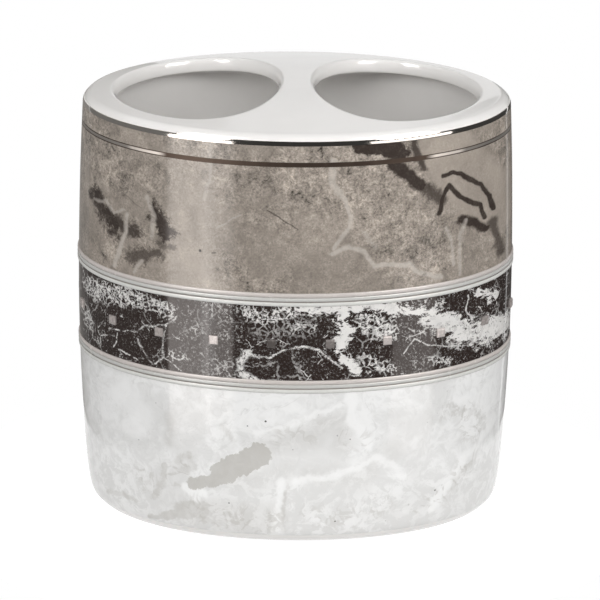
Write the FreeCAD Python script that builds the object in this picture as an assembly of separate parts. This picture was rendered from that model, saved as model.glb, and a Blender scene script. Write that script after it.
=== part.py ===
import FreeCAD, Part
import math
import os
from FreeCAD import Vector

os.makedirs("parts", exist_ok=True)

# A free-standing oval ceramic toothbrush holder, in millimetres.
# X runs along the width, Y along the depth with the front at minus Y, and Z up.
# The origin is the middle of the resting face.

# Main sizes
body_width = 109.0
body_depth = 73.4
overall_height = 112.4

# Ceramic sections
wall_thickness = 3.8
floor_thickness = 5.0
floor_corner_run = 7.0
deck_thickness = 2.8
deck_inner_corner_width = 5.0

# Foot: the resting edge lies well inside the widest outline
foot_inset = 10.3
foot_ring_width = 4.5
foot_recess_depth = 1.0

# Domed deck, its outer corner and its two mouths
deck_crown = 3.15
rim_corner_width = 2.6
rim_corner_height = 2.55
bridge_width = 8.0
mouth_end_margin = 9.3
mouth_side_margin = 13.2
mouth_lip_radius = 1.3
lip_station_count = 16

# Fired decoration, from the foot up
decoration_thickness = 0.25
film_clearance = 0.05
bare_foot_height = 3.4
white_marble_height = 39.3
moulding_height = 3.4
dark_marble_height = 19.5
pinstripe_height = 1.2
collar_height = 4.1
rim_line_height = 1.1

# Raised mouldings
bead_count = 3
bead_rise = 0.35

# Mirror squares round the dark band
tile_count = 20
tile_side = 2.2
tile_thickness = 0.7
tile_bevel = 0.25
# The row starts this far along the band from the middle of the right-hand side
tile_shift = 1.5

# Wall outline from the resting edge up to the outer corner. Each point is the inset from the
# widest outline, as a share of the foot's inset, and the height, as a share of the wall's.
wall_outline_shares = [
    (1.0, 0.0),
    (0.76, 0.0033),
    (0.55, 0.012),
    (0.365, 0.030),
    (0.25, 0.065),
    (0.18, 0.12),
    (0.11, 0.22),
    (0.04, 0.36),
    (0.0, 0.54),
    (0.016, 0.72),
    (0.058, 0.88),
    (0.11, 1.0),
]
# How far a rounded corner's handles reach towards the sharp corner
roundness_share = 0.55

# Heights that follow from the sizes above. The grey band takes what the others leave.
rim_height = overall_height - deck_crown
wall_top = rim_height - rim_corner_height
collar_base = wall_top - collar_height
pinstripe_base = collar_base - pinstripe_height
lower_moulding_base = bare_foot_height + white_marble_height
dark_marble_base = lower_moulding_base + moulding_height
upper_moulding_base = dark_marble_base + dark_marble_height
grey_marble_base = upper_moulding_base + moulding_height
# The deck is luted to the shell behind the middle of the pinstripe
joint_height = (pinstripe_base + collar_base) / 2

# The ceramic stops short of the body's outline by the decoration's thickness
clay_half_width = body_width / 2 - decoration_thickness
clay_half_depth = body_depth / 2 - decoration_thickness

# The mouths fill the deck up to the bridge between them and the margins round them
mouth_half_width = (body_width - bridge_width) / 4 - mouth_end_margin / 2
mouth_half_depth = body_depth / 2 - mouth_side_margin
mouth_centre = bridge_width / 2 + mouth_half_width


def flat(inset, height):
    """A point of a cross-section: inset from the widest clay outline, and height."""
    return Vector(inset, 0, height)


def spline(points):
    """A smooth curve through points of the cross-section."""
    curve = Part.BSplineCurve()
    curve.interpolate(points)
    return curve


def bezier(points):
    """A curve with these control points."""
    curve = Part.BezierCurve()
    curve.setPoles(points)
    return curve.toBSpline()


def shifted(curve, inset):
    """The same curve, moved inwards by inset."""
    moved = curve.copy()
    moved.translate(Vector(inset, 0, 0))
    return moved


def parameter_at(curve, height):
    """Where a rising curve reaches a height, found by halving."""
    low = curve.FirstParameter
    high = curve.LastParameter
    for _ in range(60):
        middle = (low + high) / 2
        if curve.value(middle).z < height:
            low = middle
        else:
            high = middle
    return (low + high) / 2


def piece_between(curve, low_height, high_height):
    """The piece of a rising curve between two heights."""
    piece = curve.copy()
    first = curve.FirstParameter
    last = curve.LastParameter
    if low_height > curve.value(first).z:
        first = parameter_at(curve, low_height)
    if high_height < curve.value(last).z:
        last = parameter_at(curve, high_height)
    piece.segment(first, last)
    return piece


def ring_axes(inset):
    """Half width and half depth of the oval at an inset from the widest clay outline."""
    return clay_half_width - inset, clay_half_depth - inset


def oval_face(curve, axes_at):
    """Carries a cross-section curve round the oval. axes_at gives each point's half axes."""
    corner = math.sqrt(0.5)
    around = [(1, 0), (1, 1), (0, 1), (-1, 1), (-1, 0), (-1, -1), (0, -1), (1, -1), (1, 0)]
    poles = []
    weights = []
    for cosine, sine in around:
        weight = corner if cosine and sine else 1.0
        row = []
        for pole in curve.getPoles():
            half_width, half_depth = axes_at(pole.x)
            row.append(Vector(half_width * cosine, half_depth * sine, pole.z))
        poles.append(row)
        weights.append([weight] * len(row))
    surface = Part.BSplineSurface()
    surface.buildFromPolesMultsKnots(
        poles,
        [3, 2, 2, 2, 3],
        curve.getMultiplicities(),
        [0, 0.25, 0.5, 0.75, 1],
        curve.getKnots(),
        False,
        False,
        2,
        curve.Degree,
        weights,
    )
    return surface.toShape()


def wall_face(curve):
    """The face that a cross-section curve in insets and heights makes."""
    return oval_face(curve, ring_axes)


def oval_disc(half_width, half_depth, height):
    """A flat oval face."""
    if half_width > half_depth:
        edge = Part.Ellipse(Vector(0, 0, height), half_width, half_depth).toShape()
    else:
        far_end = Vector(0, half_depth, height)
        edge = Part.Ellipse(far_end, Vector(half_width, 0, height), Vector(0, 0, height)).toShape()
    return Part.Face(Part.Wire([edge]))


def disc_at(inset, height):
    """A flat oval face at an inset."""
    half_width, half_depth = ring_axes(inset)
    return oval_disc(half_width, half_depth, height)


def flat_ring(outer_inset, inner_inset, height):
    """A flat oval ring between two insets."""
    return disc_at(outer_inset, height).cut(disc_at(inner_inset, height))


def closed_solid(faces):
    """The solid that these faces close, turned outside out."""
    loose = []
    for face in faces:
        loose.extend(face.Faces)
    shell = Part.makeShell(loose)
    shell.sewShape()
    solid = Part.Solid(shell)
    if solid.Volume < 0:
        solid.reverse()
    return solid


def start_of(curve):
    return curve.value(curve.FirstParameter)


def end_of(curve):
    return curve.value(curve.LastParameter)


def wall_outline():
    """The clay wall's outer outline, from the resting edge to the outer corner."""
    points = []
    for inset_share, height_share in wall_outline_shares:
        points.append(flat(inset_share * foot_inset, height_share * wall_top))
    return spline(points)


outline = wall_outline()
corner_inset = end_of(outline).x
rim_inset = corner_inset + rim_corner_width


def corner_curve(low, high):
    """A rounded outer corner from the top of a wall to the edge of the dome."""
    rise = roundness_share * (high.z - low.z)
    run = roundness_share * (high.x - low.x)
    return bezier([low, flat(low.x, low.z + rise), flat(high.x - run, high.z), high])


outer_corner = corner_curve(end_of(outline), flat(rim_inset, rim_height))


def dome_face(inset, edge_height, crown):
    """A shallow dome over the oval at an inset: a parabola carried to the middle."""
    edge_width, edge_depth = ring_axes(inset)
    top = edge_height + crown
    # Here the first number of each control point is a share of the edge oval
    profile = bezier([Vector(1, 0, edge_height), Vector(0.5, 0, top), Vector(0, 0, top)])
    return oval_face(profile, lambda share: (share * edge_width, share * edge_depth))


def make_body_shell():
    """Oval wall, floor and foot ring, open at the top, up to the luted joint."""
    outer = piece_between(outline, 0, joint_height)
    corner_top = floor_thickness + floor_corner_run
    inner = shifted(piece_between(outline, corner_top, joint_height), wall_thickness)
    start = start_of(inner)
    lean = inner.tangent(inner.FirstParameter)[0]
    foot_of_wall = start.x - lean.x / lean.z * floor_corner_run
    floor_edge = foot_of_wall + floor_corner_run
    floor_corner = bezier([
        flat(floor_edge, floor_thickness),
        flat(foot_of_wall, floor_thickness),
        start,
    ])
    ring_inner = foot_inset + foot_ring_width
    recess_wall = bezier([flat(ring_inner, 0), flat(ring_inner, foot_recess_depth)])
    return closed_solid([
        wall_face(outer),
        flat_ring(end_of(outer).x, end_of(inner).x, joint_height),
        wall_face(inner),
        wall_face(floor_corner),
        disc_at(floor_edge, floor_thickness),
        disc_at(ring_inner, foot_recess_depth),
        wall_face(recess_wall),
        flat_ring(foot_inset, ring_inner, 0),
    ])


def mouth_point(angle):
    """A point round the left mouth, in the middle of the deck's thickness."""
    x = -mouth_centre + (mouth_half_width + mouth_lip_radius) * math.cos(angle)
    y = (mouth_half_depth + mouth_lip_radius) * math.sin(angle)
    rim_width, rim_depth = ring_axes(rim_inset)
    fall = (x / rim_width) ** 2 + (y / rim_depth) ** 2
    return Vector(x, y, overall_height - deck_thickness / 2 - deck_crown * fall)


def make_left_lip():
    """The round lip of the left mouth: a closed tube that follows the dome."""
    points = []
    for step in range(lip_station_count):
        points.append(mouth_point(2 * math.pi * step / lip_station_count))
    path = Part.BSplineCurve()
    path.interpolate(Points=points, PeriodicFlag=True)
    sections = []
    for point in points:
        direction = path.tangent(path.parameter(point))[0]
        circle = Part.Circle(point, direction, mouth_lip_radius)
        sections.append(Part.Wire([circle.toShape()]))
    return Part.makeLoft(sections, True, False, True)


def make_left_mouth():
    """An upright oval prism through the deck, out to the middle of the lip's tube."""
    half_width = mouth_half_width + mouth_lip_radius
    half_depth = mouth_half_depth + mouth_lip_radius
    prism = oval_disc(half_width, half_depth, joint_height)
    prism.translate(Vector(-mouth_centre, 0, 0))
    return prism.extrude(Vector(0, 0, overall_height))


def mirrored(shape):
    """The same shape on the other side of the middle."""
    return shape.mirror(Vector(0, 0, 0), Vector(1, 0, 0))


def make_top_deck():
    """Domed deck with a short skirt, a rounded outer corner and two lipped mouths."""
    skirt = piece_between(outline, joint_height, wall_top)
    inner_rim_height = rim_height - deck_thickness
    skirt_inset = start_of(skirt).x + wall_thickness
    inner_rim = skirt_inset + deck_inner_corner_width
    inner_corner = corner_curve(flat(skirt_inset, joint_height), flat(inner_rim, inner_rim_height))
    # The underside keeps the deck's thickness at the middle as well as at the rim
    inner_crown = overall_height - deck_thickness - inner_rim_height
    deck = closed_solid([
        wall_face(skirt),
        wall_face(outer_corner),
        dome_face(rim_inset, rim_height, deck_crown),
        dome_face(inner_rim, inner_rim_height, inner_crown),
        wall_face(inner_corner),
        flat_ring(start_of(skirt).x, skirt_inset, joint_height),
    ])
    mouth = make_left_mouth()
    lip = make_left_lip()
    return deck.cut(mouth).cut(mirrored(mouth)).fuse(lip).fuse(mirrored(lip))


def make_skin(curve, low_height, high_height):
    """A fired film just clear of the clay, along a rising outline between two heights."""
    clay = piece_between(curve, low_height, high_height)
    inner = shifted(clay, -film_clearance)
    outer = shifted(clay, -decoration_thickness)
    return closed_solid([
        wall_face(inner),
        wall_face(outer),
        flat_ring(start_of(outer).x, start_of(inner).x, start_of(inner).z),
        flat_ring(end_of(outer).x, end_of(inner).x, end_of(inner).z),
    ])


def make_moulding(base_height):
    """A raised band of round beads on the clay wall."""
    top_height = base_height + moulding_height
    inner = shifted(piece_between(outline, base_height, top_height), -film_clearance)
    bead_height = moulding_height / bead_count
    grooves = []
    for step in range(bead_count + 1):
        height = base_height + step * bead_height
        inset = outline.value(parameter_at(outline, height)).x - decoration_thickness
        grooves.append(flat(inset, height))
    faces = [
        wall_face(inner),
        flat_ring(grooves[0].x, start_of(inner).x, start_of(inner).z),
        flat_ring(grooves[-1].x, end_of(inner).x, end_of(inner).z),
    ]
    # A bead's handles stand out by four thirds of its rise, so its crest reaches the rise
    reach = bead_rise * 4 / 3
    for low, high in zip(grooves, grooves[1:]):
        bead = bezier([low, flat(low.x - reach, low.z), flat(high.x - reach, high.z), high])
        faces.append(wall_face(bead))
    return closed_solid(faces)


def make_mirror_tiles():
    """Bevelled mirror squares, evenly spaced along the dark band and glued flat to it."""
    height = dark_marble_base + dark_marble_height / 2
    inset = outline.value(parameter_at(outline, height)).x - decoration_thickness
    half_width, half_depth = ring_axes(inset)
    track = Part.Ellipse(Vector(0, 0, height), half_width, half_depth).toShape()
    step = track.Length / tile_count
    tiles = []
    for index in range(tile_count):
        parameter = track.getParameterByLength((index + 0.5) * step + tile_shift)
        outward = track.tangentAt(parameter).cross(Vector(0, 0, 1))
        # The square is made facing plus X, its back clear of the band, and then turned to face out
        tile = Part.makeBox(tile_thickness, tile_side, tile_side)
        tile.translate(Vector(film_clearance, -tile_side / 2, -tile_side / 2))
        front = [edge for edge in tile.Edges if edge.BoundBox.XMin > tile_thickness]
        tile = tile.makeChamfer(tile_bevel, front)
        turn = math.degrees(math.atan2(outward.y, outward.x))
        tile.rotate(Vector(0, 0, 0), Vector(0, 0, 1), turn)
        tile.translate(track.valueAt(parameter))
        tiles.append(tile)
    return Part.makeCompound(tiles)


parts = {
    "body_shell": make_body_shell(),
    "top_deck": make_top_deck(),
    "rim_lustre": make_skin(outer_corner, wall_top, wall_top + rim_line_height),
    "collar_transfer": make_skin(outline, collar_base, wall_top),
    "pinstripe_lustre": make_skin(outline, pinstripe_base, collar_base),
    "grey_marble_transfer": make_skin(outline, grey_marble_base, pinstripe_base),
    "upper_moulding": make_moulding(upper_moulding_base),
    "dark_marble_transfer": make_skin(outline, dark_marble_base, upper_moulding_base),
    "mirror_tiles": make_mirror_tiles(),
    "lower_moulding": make_moulding(lower_moulding_base),
    "white_marble_transfer": make_skin(outline, bare_foot_height, lower_moulding_base),
}

for name, shape in parts.items():
    print(name, "valid", shape.isValid(), "solids", len(shape.Solids))
    shape.exportStep(f"parts/{name}.step")
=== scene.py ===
import math

import bmesh
import bpy
import numpy as np
from mathutils import Matrix, Vector

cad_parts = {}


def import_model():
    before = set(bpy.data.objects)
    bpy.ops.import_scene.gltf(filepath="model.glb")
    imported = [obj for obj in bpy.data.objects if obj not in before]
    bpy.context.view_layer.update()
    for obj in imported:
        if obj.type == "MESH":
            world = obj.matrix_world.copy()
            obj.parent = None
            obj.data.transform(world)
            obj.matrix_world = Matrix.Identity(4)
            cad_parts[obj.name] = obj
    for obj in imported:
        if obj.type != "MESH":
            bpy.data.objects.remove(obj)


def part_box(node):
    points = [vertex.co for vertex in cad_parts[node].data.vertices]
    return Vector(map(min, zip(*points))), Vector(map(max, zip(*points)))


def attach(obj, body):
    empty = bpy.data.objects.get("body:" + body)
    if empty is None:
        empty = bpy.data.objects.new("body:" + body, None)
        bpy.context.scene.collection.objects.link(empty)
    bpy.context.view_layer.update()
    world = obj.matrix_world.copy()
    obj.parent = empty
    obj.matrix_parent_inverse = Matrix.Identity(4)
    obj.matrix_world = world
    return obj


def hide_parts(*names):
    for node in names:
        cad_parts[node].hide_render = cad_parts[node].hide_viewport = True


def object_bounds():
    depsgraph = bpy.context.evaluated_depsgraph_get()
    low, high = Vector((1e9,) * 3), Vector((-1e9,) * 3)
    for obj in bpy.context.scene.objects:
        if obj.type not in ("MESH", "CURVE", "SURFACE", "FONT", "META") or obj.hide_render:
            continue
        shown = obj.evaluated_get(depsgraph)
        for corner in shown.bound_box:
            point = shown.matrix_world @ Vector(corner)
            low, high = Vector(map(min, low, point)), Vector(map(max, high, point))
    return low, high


bl_info = {
    "name": "Oval toothbrush holder",
    "version": (1, 0, 0),
    "blender": (4, 5, 0),
    "location": "3D View > Sidebar > Holder",
    "description": "A glazed oval toothbrush holder with marble-look bands and mirror squares",
    "category": "Add Mesh",
}

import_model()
cad_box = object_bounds()

# The wall's outline: shares of the foot's inset and of the wall's height, from the foot up
OUTLINE_SHARES = (
    (1.0, 0.0), (0.76, 0.0033), (0.55, 0.012), (0.365, 0.030), (0.25, 0.065), (0.18, 0.12),
    (0.11, 0.22), (0.04, 0.36), (0.0, 0.54), (0.016, 0.72), (0.058, 0.88), (0.11, 1.0),
)
# How far a rounded corner's handles reach, as a share of its run and rise
ROUNDNESS_SHARE = 0.55
# Rings of points across the floor and the foot's hollow, as shares of their outer ring
FLOOR_SHARES = (0.85, 0.7, 0.5, 0.3, 0.15, 0.0)
RECESS_SHARES = (0.0, 0.25, 0.5, 0.75)

# Steps along the curves
OUTLINE_STEPS = 150
CORNER_STEPS = 20
FLOOR_CORNER_STEPS = 14
BEAD_STEPS = 12
LIP_TOP_STEPS = 12
LIP_UNDER_STEPS = 7
TRACK_STEPS = 1440

# Steps over half of the deck: round its oval edge, along its middle, and from the lip outwards
DECK_OVAL_STEPS = 132
DECK_MIDDLE_STEPS = 60
DECK_TOP_ROWS = 16
DECK_UNDER_ROWS = 16
# The deck's ceiling: how square it stays towards the wall, and how its rows crowd at the lip
CEILING_POWER = 5
ROW_POWER = 1.8
# Where a lip comes this near to the wall, the ceiling between them starts to slope, then slopes fully
SLOPE_FAR = 0.0062
SLOPE_NEAR = 0.0032

# Points closer together than these are one point, in metres
CURVE_GAP = 0.00001
SEAM_GAP = 0.000005
WELD_GAP = 0.000002
SLIVER = 0.0000005

# Creases sharper than these stay sharp, in degrees
FILM_CREASE = 38
BODY_CREASE = 50
DECK_CREASE = 60
BEAD_CREASE = 55
MIRROR_CREASE = 20

# The camera, fitted to the photograph: degrees, metres and millimetres of lens and sensor
CAMERA_ELEVATION = 20.03
CAMERA_ROLL = 0.55
CAMERA_DISTANCE = 1.428
CAMERA_TARGET = Vector((0, 0, 0.05465))
LENS = 339.5
SENSOR = 36
CAMERA_REACH = 20
# The side of the photograph and the place in it that the camera points at, in pixels
PHOTO_SIDE = 600
PHOTO_ACROSS = 295.0
PHOTO_DOWN = 297.5

# The stage: the point that the lamps face, the floor's radius and the cards' edges, in metres
STAGE_MIDDLE = Vector((0, 0, 0.06))
FLOOR_RADIUS = 0.09
FLOOR_STEPS = 128
CARD_BOTTOM = -2.2
CARD_TOP = 2.6
CARD_STEPS = 24
CLOTH_TINT = (1, 0.96, 0.92)
CLOTH_ROUGHNESS = 0.9
# How far the lamps stand, in metres, and the colour of those that polished surfaces show
NEAR_LAMP = 1.3
FAR_LAMP = 1.5
GLEAM_TINT = (1.0, 0.94, 0.90)
# The left gleam's fading edge, as a share of its brightness
LEFT_FADE_SHARE = 0.72
# The power of a lamp of brightness 1, in watts for each square metre of its own face
LAMP_POWER = 4


def length(name, default, description):
    """A length that the user can change, in metres."""
    return bpy.props.FloatProperty(
        name=name, description=description, default=default, min=0, precision=5, unit="LENGTH")


def colour(name, default, description):
    """A colour that the user can change."""
    return bpy.props.FloatVectorProperty(
        name=name, description=description, default=default, min=0, max=1, size=3, subtype="COLOR")


def amount(name, default, description):
    """A plain number that the user can change."""
    return bpy.props.FloatProperty(name=name, description=description, default=default, min=0)


def whole(name, default, description, least=1):
    """A whole number that the user can change."""
    return bpy.props.IntProperty(name=name, description=description, default=default, min=least)


class HolderSizes(bpy.types.PropertyGroup):
    """Sizes of the ceramic body and its decoration."""
    body_width: length("Body width", 0.109, "Width at the widest height")
    body_depth: length("Body depth", 0.0734, "Depth at the widest height")
    wall: length("Wall", 0.0038, "Thickness of the clay wall")
    floor: length("Floor", 0.005, "Height of the inside floor")
    floor_corner: length("Floor corner", 0.007, "Reach of the rounding between floor and wall")
    foot_inset: length("Foot inset", 0.0103, "How far the resting edge lies inside the widest outline")
    foot_ring: length("Foot ring", 0.0045, "Width of the ring that the body rests on")
    foot_recess: length("Foot recess", 0.001, "Depth of the hollow inside the foot ring")
    deck: length("Deck", 0.0028, "Thickness of the domed top")
    crown: length("Crown", 0.00315, "Rise of the dome over its edge")
    corner_width: length("Corner width", 0.0026, "Run of the rounded outer corner")
    corner_height: length("Corner height", 0.00255, "Rise of the rounded outer corner")
    bridge: length("Bridge", 0.0088, "Narrowest clay between the two mouths")
    end_margin: length("End margin", 0.0093, "From a mouth's outer end to the widest outline")
    side_margin: length("Side margin", 0.0132, "From a mouth's side to the widest outline")
    mouth_taper: amount("Mouth taper", 0.11, "How much fuller a mouth is towards the bridge")
    lip_run: length("Lip run", 0.0021, "How far the lip's underside reaches out from the mouth")
    lip_height: length("Lip height", 0.0038, "Height of the mouth's lip")
    lip_corner: length("Lip corner", 0.0012, "Run of the rounding over the lip's top edge")
    lip_corner_height: length("Lip corner height", 0.0025, "Rise of the rounding over the lip's edge")
    lip_under: length("Lip underside", 0.0009, "Rise of the rounding under the lip")
    film: length("Film", 0.00025, "From the clay to the outside of a fired film")
    film_gap: length("Film gap", 0.00005, "From the clay to the inside of a fired film")
    bead_rise: length("Bead rise", 0.000345, "How far a moulding's bead stands out")
    bead_count: whole("Beads", 3, "Beads in a moulding")
    tile_side: length("Mirror side", 0.0022, "Side of a mirror square")
    tile_thickness: length("Mirror thickness", 0.000699, "Thickness of a mirror square")
    tile_bevel: length("Mirror bevel", 0.00025, "Bevel round a mirror square's front")
    tile_shift: length("Mirror shift", 0.0015, "Where the row starts along the band")
    tile_count: whole("Mirrors", 20, "Mirror squares round the band")
    tile_reflection_seed: whole("Mirror seed", 2795, "Which squares are bright", 0)
    stations: whole("Stations", 264, "Steps round the oval", 16)


class HolderColours(bpy.types.PropertyGroup):
    """Colours of the glazes, transfers and lustre lines."""
    glaze: colour("White glaze", (0.875, 0.857, 0.836), "The plain glaze of the deck, inside and foot")
    taupe: colour("Taupe stone", (0.330, 0.288, 0.248), "The grey marble's middle tone")
    taupe_pale: colour("Pale taupe", (0.56, 0.51, 0.46), "The grey marble's pale veins")
    taupe_dark: colour("Dark taupe", (0.036, 0.026, 0.022), "The grey marble's smoky streaks")
    night: colour("Dark stone", (0.022, 0.015, 0.013), "The dark marble's ground")
    night_vein: colour("Crackle", (0.90, 0.88, 0.855), "The dark marble's crackle and lace")
    snow: colour("White stone", (0.895, 0.893, 0.885), "The white marble's ground")
    cloud: colour("Grey cloud", (0.70, 0.696, 0.684), "The white marble's clouds")
    wedge: colour("Grey wedge", (0.52, 0.505, 0.475), "The white marble's grey patch, shades and curls")
    fleck: colour("Fleck", (0.10, 0.095, 0.09), "The white marble's dark specks")
    bead: colour("Moulding", (0.70, 0.695, 0.67), "Crests of the moulding's beads")
    bead_blush: colour("Pink bead", (0.60, 0.545, 0.52), "The topmost bead of each moulding")
    groove_shade: colour("Groove", (0.27, 0.245, 0.22), "Grooves of the moulding")
    lustre: colour("Lustre", (0.74, 0.72, 0.69), "The metallic rim line")
    bronze: colour("Pinstripe", (0.072, 0.053, 0.042), "The darker metallic pinstripe")
    bronze_sheen: colour("Worn pinstripe", (0.82, 0.76, 0.70), "The pinstripe where it is worn")
    mirror_dark_reflection: colour("Smoky mirror", (0.07, 0.06, 0.055), "The darkest of the mirror squares")
    mirror_bright_reflection: colour("Bright mirror", (0.66, 0.60, 0.575), "The brightest of the mirror squares")


class HolderStudio(bpy.types.PropertyGroup):
    """Lights and floor of the stage."""
    ambient: amount("Ambient", 0.30, "Light from all round")
    left_gleam: amount("Left gleam", 2.55, "The left softbox where polished surfaces show it")
    right_gleam: amount("Right gleam", 1.5, "The right softbox where polished surfaces show it")
    low_gleam: amount("Low gleam", 1.3, "The low softbox that hazes the dark band on the right")
    sparks: amount("Sparks", 12.0, "The high softboxes where the lips show them")
    left_box: amount("Left softbox", 2.15, "Brightness of the left softbox")
    right_box: amount("Right softbox", 2.5, "Brightness of the right softbox")
    top_box: amount("Top softbox", 1.50, "Brightness of the softbox overhead")
    back_box: amount("Back softbox", 1.5, "Brightness of the softbox behind the holder")
    floor_tone: amount("Floor tone", 0.30, "How light the floor's own colour is")
    floor_glow: amount("Floor glow", 0.28, "How much the floor glows onto the holder")
    floor_white: amount("Floor white", 0.58, "What is added where the floor is seen, for a white ground")


def sizes():
    return bpy.context.scene.holder_sizes


def colours():
    return bpy.context.scene.holder_colours


# Shader and geometry maths

class Wire:
    """A node's output. Sums written with it in Python become Math nodes."""

    def __init__(self, nodes, socket):
        self.nodes = nodes
        self.socket = socket

    def maths(self, operation, *terms):
        return self.nodes.node("ShaderNodeMath", {"operation": operation}, dict(enumerate(terms)))

    def __add__(self, other):
        return self.maths("ADD", self, other)

    def __radd__(self, other):
        return self.maths("ADD", other, self)

    def __sub__(self, other):
        return self.maths("SUBTRACT", self, other)

    def __rsub__(self, other):
        return self.maths("SUBTRACT", other, self)

    def __mul__(self, other):
        return self.maths("MULTIPLY", self, other)

    def __rmul__(self, other):
        return self.maths("MULTIPLY", other, self)

    def __truediv__(self, other):
        return self.maths("DIVIDE", self, other)

    def __rtruediv__(self, other):
        return self.maths("DIVIDE", other, self)

    def __mod__(self, other):
        return self.maths("MODULO", self, other)

    def size(self):
        return self.maths("ABSOLUTE", self)

    def fraction(self):
        """What is left over a whole number."""
        return self.maths("FRACT", self)

    def floored(self):
        return self.maths("FLOOR", self)

    def cosine(self):
        return self.maths("COSINE", self)

    def sine(self):
        return self.maths("SINE", self)

    def above(self, limit):
        """1 above the limit, 0 up to it."""
        return self.maths("GREATER_THAN", self, limit)

    def least(self, other):
        return self.maths("MINIMUM", self, other)

    def most(self, other):
        return self.maths("MAXIMUM", self, other)

    def clamped(self):
        return self.nodes.node("ShaderNodeClamp", {}, {0: self})

    def eased(self, low, high):
        """0 below low, 1 above high and smooth between; falling where low is above high."""
        start, end = (0.0, 1.0) if low <= high else (1.0, 0.0)
        values = {0: self, 1: min(low, high), 2: max(low, high), 3: start, 4: end}
        return self.nodes.node("ShaderNodeMapRange", {"interpolation_type": "SMOOTHSTEP"}, values)


class Nodes:
    """A tree of nodes that is written as sums of their outputs."""

    def __init__(self, tree):
        self.tree = tree

    def node(self, kind, settings, values, output=0):
        """One node of any kind: its settings come first, then the values or links of its sockets."""
        node = self.tree.nodes.new(kind)
        for name, setting in settings.items():
            setattr(node, name, setting)
        for name, value in values.items():
            self.feed(node.inputs[name], value)
        return Wire(self, node.outputs[output])

    def feed(self, socket, value):
        """Links a wire to a socket, or sets a plain value on it."""
        if isinstance(value, Wire):
            self.tree.links.new(value.socket, socket)
        else:
            socket.default_value = value

    def outputs(self, wire):
        """Every output of the node that this wire comes from."""
        return [Wire(self, socket) for socket in wire.socket.node.outputs]

    def vector(self, operation, *terms, **named):
        output = "Value" if operation in ("DOT_PRODUCT", "DISTANCE") else "Vector"
        values = {**dict(enumerate(terms)), **named}
        return self.node("ShaderNodeVectorMath", {"operation": operation}, values, output)

    def parts_of(self, vector):
        return self.outputs(self.node("ShaderNodeSeparateXYZ", {}, {0: vector}))

    def point(self, x, y, z):
        return self.node("ShaderNodeCombineXYZ", {}, {0: x, 1: y, 2: z})

    def seen(self):
        """1 where the camera looks straight, by a mirroring surface or through glass, and 0 elsewhere."""
        rays = self.node("ShaderNodeLightPath", {}, {}, "Is Camera Ray")
        outs = rays.socket.node.outputs
        for name in ("Is Glossy Ray", "Is Transmission Ray"):
            rays = rays.most(Wire(self, outs[name]))
        return rays


class Paint(Nodes):
    """A material's nodes, ending in one Principled shader."""

    def __init__(self, name):
        self.material = bpy.data.materials.new(name)
        self.material.use_nodes = True
        super().__init__(self.material.node_tree)
        self.shader = self.tree.nodes["Principled BSDF"]
        self.place = self.node("ShaderNodeTexCoord", {}, {}, "Object")

    def noise(self, size, detail=4.0, roughness=0.5, distortion=0.0, at=None):
        """Soft noise whose blobs are about this size in metres, from 0 to 1."""
        values = {"Vector": at or self.place, "Scale": 1 / size, "Detail": detail,
                  "Roughness": roughness, "Distortion": distortion}
        return self.node("ShaderNodeTexNoise", {}, values)

    def cells(self, feature, size, at):
        values = {"Vector": at or self.place, "Scale": 1 / size}
        return self.node("ShaderNodeTexVoronoi", {"feature": feature}, values, "Distance")

    def cracks(self, size, at=None):
        """Distance to the nearest crack of a net of cells about this size, in cell sizes."""
        return self.cells("DISTANCE_TO_EDGE", size, at)

    def specks(self, size, at=None):
        """Distance to the middle of the nearest speck, in cell sizes."""
        return self.cells("F1", size, at)

    def colour(self, value):
        return value if isinstance(value, Wire) else (*value, 1.0)

    def mix(self, factor, first, second):
        """One colour turning into another."""
        values = {0: factor, 6: self.colour(first), 7: self.colour(second)}
        return self.node("ShaderNodeMix", {"data_type": "RGBA"}, values, 2)

    def scaled(self, colour, factor):
        """A colour made lighter or darker by a varying factor."""
        return self.vector("SCALE", colour, Scale=factor)

    def warped(self, size, reach, detail=3.0):
        """The place on the surface, pushed about by noise."""
        values = {"Vector": self.place, "Scale": 1 / size, "Detail": detail}
        push = self.node("ShaderNodeTexNoise", {}, values, "Color")
        centred = self.vector("SUBTRACT", push, (0.5, 0.5, 0.5))
        return self.vector("ADD", self.place, self.vector("SCALE", centred, Scale=2 * reach))

    def flat_place(self, at):
        """A place with its depth dropped, as strokes on the front need it."""
        return self.vector("MULTIPLY", at, (1, 0, 1))

    def front(self):
        """1 on the front half, 0 on the back."""
        return self.parts_of(self.place)[1].eased(0.002, -0.004)

    def stroke(self, at, points, full, fade, strength=1, ragged=None):
        """A brush stroke through points of the front, as x and z in millimetres: at its strength within
        its half width full, 0 beyond fade, both in millimetres. Ragged moves its edge, in metres."""
        nearest = None
        for start, end in zip(points, points[1:]):
            run = Vector((end[0] - start[0], 0, end[1] - start[1])) / 1000
            offset = self.vector("SUBTRACT", at, (start[0] / 1000, 0, start[1] / 1000))
            along = self.vector("DOT_PRODUCT", offset, run / run.length_squared).clamped()
            foot = self.vector("SCALE", run, Scale=along)
            gap = self.vector("DISTANCE", offset, foot)
            nearest = gap if nearest is None else nearest.least(gap)
        if ragged is not None:
            nearest = nearest + ragged
        line = nearest.eased(fade / 1000, full / 1000)
        return line if strength == 1 else line * strength

    def strokes(self, rows):
        """Several strokes, the strongest on top. Each row has what stroke() takes."""
        strongest = None
        for row in rows:
            line = self.stroke(*row)
            strongest = line if strongest is None else strongest.most(line)
        return strongest

    def glaze(self, base, rough, bump=None, bump_reach=0.0):
        """Sets the shader as a glossy glaze over this colour."""
        self.feed(self.shader.inputs["Base Color"], self.colour(base))
        self.feed(self.shader.inputs["Roughness"], rough)
        self.shader.inputs["IOR"].default_value = 1.5
        if bump is not None:
            values = {"Height": bump, "Distance": bump_reach, "Strength": 1.0}
            self.feed(self.shader.inputs["Normal"], self.node("ShaderNodeBump", {}, values))


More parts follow.
